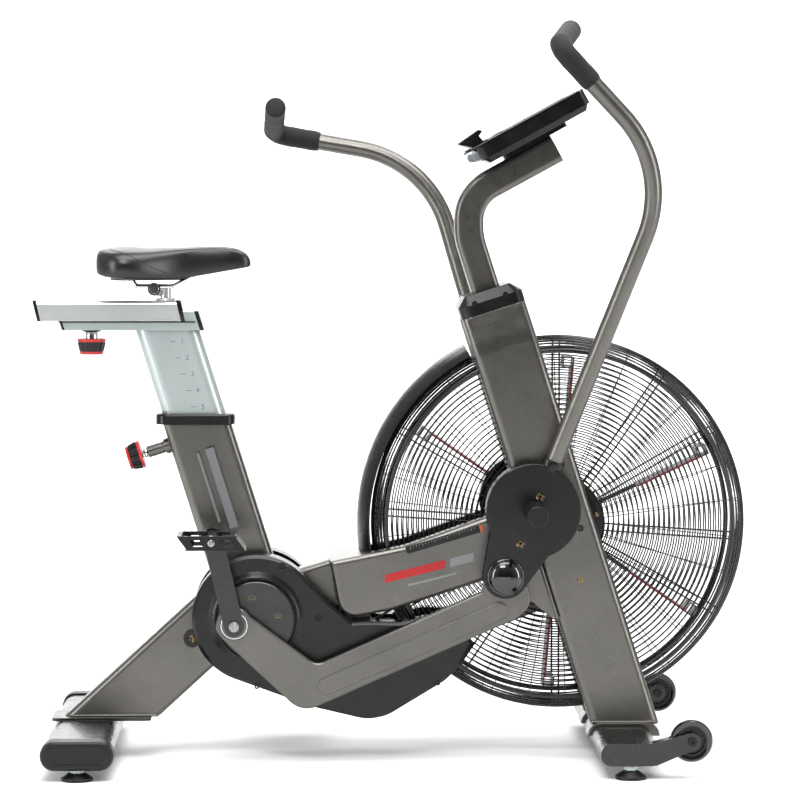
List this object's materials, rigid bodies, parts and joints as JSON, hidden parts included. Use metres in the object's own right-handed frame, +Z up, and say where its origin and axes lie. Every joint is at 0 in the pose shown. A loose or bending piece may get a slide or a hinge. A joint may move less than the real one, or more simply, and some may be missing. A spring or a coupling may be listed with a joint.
{
  "type": "air bike",
  "caption": "Upright air-resistance exercise bike with a caged fan wheel, swinging handles linked to the pedals, and an adjustable saddle.",
  "frame": {"origin": "on the floor, under the middle of the machine's bounding box", "axes": "+X forward, from the saddle towards the fan; +Y to the rider's left; +Z up"},
  "size_m": [1.312, 0.674, 1.3501],
  "materials": {
    "frame_paint": "metallic gunmetal powder coat",
    "black_metal": "satin black coat",
    "zinc": "satin zinc plate",
    "aluminium": "anodised extrusion",
    "steel": "ground",
    "chrome": "polished",
    "brass": "yellow zinc plate",
    "black_plastic": "moulded, fine grain",
    "gloss_plastic": "glossy",
    "rubber": "matte",
    "vinyl": "stitched synthetic leather",
    "fan_blade": "black coat, red outer edges",
    "silver_plastic": "silver lacquer"
  },
  "bodies": {
    "frame": {"right_side_frame": "frame_paint", "left_side_frame": "frame_paint", "front_stabiliser": "black_metal", "rear_stabiliser": "black_metal", "rear_leg": "frame_paint", "seat_tube": "frame_paint", "main_beam": "frame_paint", "rear_end_caps": "rubber", "wheel_brackets": "black_metal", "mast_collar": "black_plastic", "mast": "frame_paint", "right_fan_guard": "black_metal", "left_fan_guard": "black_metal", "fan_fender": "black_plastic", "right_shroud": "black_plastic", "left_shroud": "black_plastic", "crank_bearings": "steel", "fan_axle": "steel", "handle_pivots": "steel", "handle_bushes": "brass", "foot_pegs": "rubber", "seat_collar": "black_plastic", "console_housing": "black_plastic", "console_face": "gloss_plastic", "phone_holder": "silver_plastic", "frame_screws": "brass", "drive_belts": "rubber"},
    "crank": {"crank_axle": "steel", "crank_pulley": "aluminium", "right_crank": "black_metal", "left_crank": "black_metal"},
    "jackshaft": {"jackshaft": "steel"},
    "fan": {"fan_hub": "black_metal", "fan_blades": "fan_blade"},
    "seat_post": {"seat_post": "zinc"},
    "seat_slider": {"seat_slider": "aluminium"},
    "saddle": {"saddle": "vinyl", "saddle_clamp": "chrome"},
    "slider_knob": {"slider_knob": "black_plastic"},
    "height_pin": {"height_pin": "black_plastic"},
    "right_handle": {"right_handle_tube": "frame_paint", "right_grip": "rubber", "right_lever": "black_plastic", "right_lever_pin": "gloss_plastic"},
    "right_link": {"right_link_bar": "frame_paint", "right_link_bearings": "chrome"},
    "right_pedal": {"right_pedal": "black_plastic"},
    "right_wheel": {"right_transport_wheel": "rubber"},
    "right_front_foot": {"right_front_foot": "rubber"},
    "right_rear_foot": {"right_rear_foot": "rubber"},
    "left_handle": {"left_handle_tube": "frame_paint", "left_grip": "rubber", "left_lever": "black_plastic", "left_lever_pin": "gloss_plastic"},
    "left_link": {"left_link_bar": "frame_paint", "left_link_bearings": "chrome"},
    "left_pedal": {"left_pedal": "black_plastic"},
    "left_wheel": {"left_transport_wheel": "rubber"},
    "left_front_foot": {"left_front_foot": "rubber"},
    "left_rear_foot": {"left_rear_foot": "rubber"}
  },
  "joints": [
    {"name": "right_handle_swing", "type": "hinge", "parent": "frame", "child": "right_handle", "pos_m": [0.2565, 0, 0.462], "axis": [0, 1, 0], "range_deg": [-36.9, 0]},
    {"name": "left_handle_swing", "type": "hinge", "parent": "frame", "child": "left_handle", "pos_m": [0.2565, 0, 0.462], "axis": [0, 1, 0], "range_deg": [0, 36.9]},
    {"name": "right_link_pivot", "type": "hinge", "parent": "right_handle", "child": "right_link", "pos_m": [0.2057, 0, 0.34233], "axis": [0, 1, 0], "range_deg": [0, 42]},
    {"name": "left_link_pivot", "type": "hinge", "parent": "left_handle", "child": "left_link", "pos_m": [0.28773, 0, 0.33581], "axis": [0, 1, 0], "range_deg": [-42, 0]},
    {"name": "crank_spin", "type": "hinge", "parent": "frame", "child": "crank", "pos_m": [-0.247, 0, 0.261], "axis": [0, 1, 0], "continuous": true},
    {"name": "jackshaft_spin", "type": "hinge", "parent": "frame", "child": "jackshaft", "pos_m": [-0.03, 0, 0.168], "axis": [0, 1, 0], "continuous": true},
    {"name": "fan_spin", "type": "hinge", "parent": "frame", "child": "fan", "pos_m": [0.31, 0, 0.43], "axis": [0, 1, 0], "continuous": true},
    {"name": "right_pedal_spin", "type": "hinge", "parent": "crank", "child": "right_pedal", "pos_m": [-0.324, -0.21, 0.416], "axis": [0, 1, 0], "continuous": true},
    {"name": "left_pedal_spin", "type": "hinge", "parent": "crank", "child": "left_pedal", "pos_m": [-0.17, 0.21, 0.106], "axis": [0, 1, 0], "continuous": true},
    {"name": "right_wheel_spin", "type": "hinge", "parent": "frame", "child": "right_wheel", "pos_m": [0.527, -0.307, 0.067], "axis": [0, 1, 0], "continuous": true},
    {"name": "right_front_foot_turn", "type": "hinge", "parent": "frame", "child": "right_front_foot", "pos_m": [0.419, -0.309, 0.02], "axis": [0, 0, 1], "continuous": true},
    {"name": "right_rear_foot_turn", "type": "hinge", "parent": "frame", "child": "right_rear_foot", "pos_m": [-0.561, -0.302, 0.02], "axis": [0, 0, 1], "continuous": true},
    {"name": "left_wheel_spin", "type": "hinge", "parent": "frame", "child": "left_wheel", "pos_m": [0.527, 0.307, 0.067], "axis": [0, 1, 0], "continuous": true},
    {"name": "left_front_foot_turn", "type": "hinge", "parent": "frame", "child": "left_front_foot", "pos_m": [0.419, 0.309, 0.02], "axis": [0, 0, 1], "continuous": true},
    {"name": "left_rear_foot_turn", "type": "hinge", "parent": "frame", "child": "left_rear_foot", "pos_m": [-0.561, 0.302, 0.02], "axis": [0, 0, 1], "continuous": true},
    {"name": "seat_height", "type": "slide", "parent": "frame", "child": "seat_post", "axis": [-0.3007, 0, 0.9537], "range_m": [-0.1, 0.06]},
    {"name": "seat_fore_aft", "type": "slide", "parent": "seat_post", "child": "seat_slider", "axis": [1, 0, 0], "range_m": [-0.03, 0.07]},
    {"name": "saddle_tilt", "type": "hinge", "parent": "seat_slider", "child": "saddle", "pos_m": [-0.433, 0, 0.861], "axis": [0, 1, 0], "range_deg": [-4, 4]},
    {"name": "slider_knob_turn", "type": "hinge", "parent": "seat_post", "child": "slider_knob", "pos_m": [-0.5495, 0, 0.77], "axis": [0, 0, 1], "continuous": true},
    {"name": "height_pin_pull", "type": "slide", "parent": "frame", "child": "height_pin", "axis": [-0.9537, 0, -0.3007], "range_m": [0, 0.012], "stiffness_N_per_m": 900, "springref_m": -0.004}
  ],
  "couplings": [
    {"joint": "left_handle_swing", "follows": "right_handle_swing", "ratio": -1},
    {"joint": "right_link_pivot", "follows": "right_handle_swing", "ratio": -1.065},
    {"joint": "left_link_pivot", "follows": "right_handle_swing", "ratio": 1.065},
    {"joint": "crank_spin", "follows": "right_handle_swing", "ratio": -4.878},
    {"joint": "jackshaft_spin", "follows": "right_handle_swing", "ratio": -16.26},
    {"joint": "fan_spin", "follows": "right_handle_swing", "ratio": -40.65}
  ]
}
